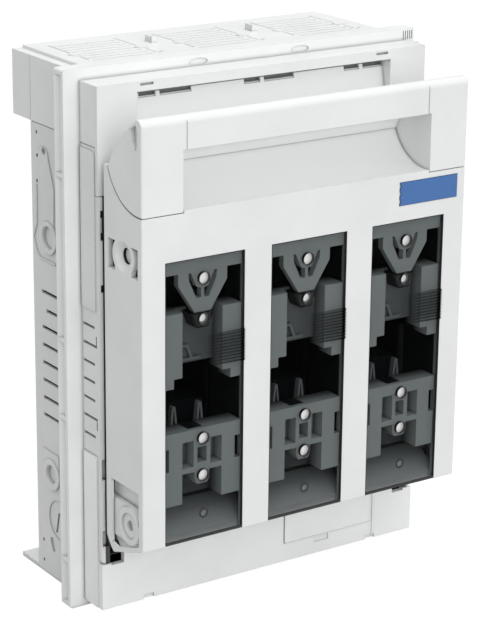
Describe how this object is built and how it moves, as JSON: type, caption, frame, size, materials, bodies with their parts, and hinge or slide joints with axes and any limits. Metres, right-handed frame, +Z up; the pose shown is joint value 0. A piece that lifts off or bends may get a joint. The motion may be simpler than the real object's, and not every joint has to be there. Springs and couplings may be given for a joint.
{
  "type": "fuse switch disconnector",
  "caption": "Low-voltage fuse switch disconnector: a vented housing with a hinged lid, sliding clear windows and a grip handle that carries blade fuses to spring jaws.",
  "frame": {"origin": "centre of the four mounting holes, on the plane of the mounting plate", "axes": "+X to the right as seen from the front, +Z up, the front faces -Y"},
  "size_m": [0.2312, 0.1381, 0.3043],
  "materials": {
    "housing_plastic": "fine-textured light grey moulded plastic",
    "handle_plastic": "satin light grey moulded plastic",
    "carrier_plastic": "satin grey moulded plastic",
    "latch_plastic": "satin black moulded plastic",
    "cover_plastic": "matt dark grey moulded plastic",
    "clear_plastic": "clear glossy plastic",
    "label_plastic": "blue printed card",
    "silvered_copper": "silver-plated satin copper",
    "zinc_steel": "zinc-plated",
    "spring_steel": "bare spring steel"
  },
  "bodies": {
    "housing": {"base_housing": "housing_plastic", "collar_frame": "housing_plastic", "middle_shroud": "housing_plastic", "upper_front_cover": "housing_plastic", "lower_front_cover": "housing_plastic", "top_terminal_cover": "housing_plastic", "upper_contact_cover_1": "cover_plastic", "upper_contact_cover_2": "cover_plastic", "upper_contact_cover_3": "cover_plastic", "lower_contact_cover_1": "cover_plastic", "lower_contact_cover_2": "cover_plastic", "lower_contact_cover_3": "cover_plastic", "rating_plate_window": "clear_plastic", "upper_contact_1": "silvered_copper", "upper_contact_2": "silvered_copper", "upper_contact_3": "silvered_copper", "lower_contact_1": "silvered_copper", "lower_contact_2": "silvered_copper", "lower_contact_3": "silvered_copper", "terminal_bolts": "zinc_steel", "terminal_washers": "zinc_steel", "terminal_nuts": "zinc_steel", "bar_screws": "zinc_steel", "hinge_pins": "zinc_steel", "ring_springs": "spring_steel", "arc_plates": "spring_steel"},
    "lid": {"lid_frame": "housing_plastic", "handle": "handle_plastic", "label_insert": "label_plastic", "fuse_carrier_1": "carrier_plastic", "fuse_carrier_2": "carrier_plastic", "fuse_carrier_3": "carrier_plastic", "fuse_gripper_1": "carrier_plastic", "fuse_gripper_2": "carrier_plastic", "fuse_gripper_3": "carrier_plastic", "gripper_latch_1": "latch_plastic", "gripper_latch_2": "latch_plastic", "gripper_latch_3": "latch_plastic"},
    "window_slide_1": {"window_1": "clear_plastic"},
    "window_slide_2": {"window_2": "clear_plastic"},
    "window_slide_3": {"window_3": "clear_plastic"}
  },
  "joints": [
    {"name": "lid_hinge", "type": "hinge", "parent": "housing", "child": "lid", "pos_m": [0, -0.1216, -0.0884], "axis": [1, 0, 0], "range_deg": [0, 90]},
    {"name": "window_1_slide", "type": "slide", "parent": "lid", "child": "window_slide_1", "axis": [0, 0, -1], "range_m": [0, 0.012]},
    {"name": "window_2_slide", "type": "slide", "parent": "lid", "child": "window_slide_2", "axis": [0, 0, -1], "range_m": [0, 0.012]},
    {"name": "window_3_slide", "type": "slide", "parent": "lid", "child": "window_slide_3", "axis": [0, 0, -1], "range_m": [0, 0.012]}
  ]
}
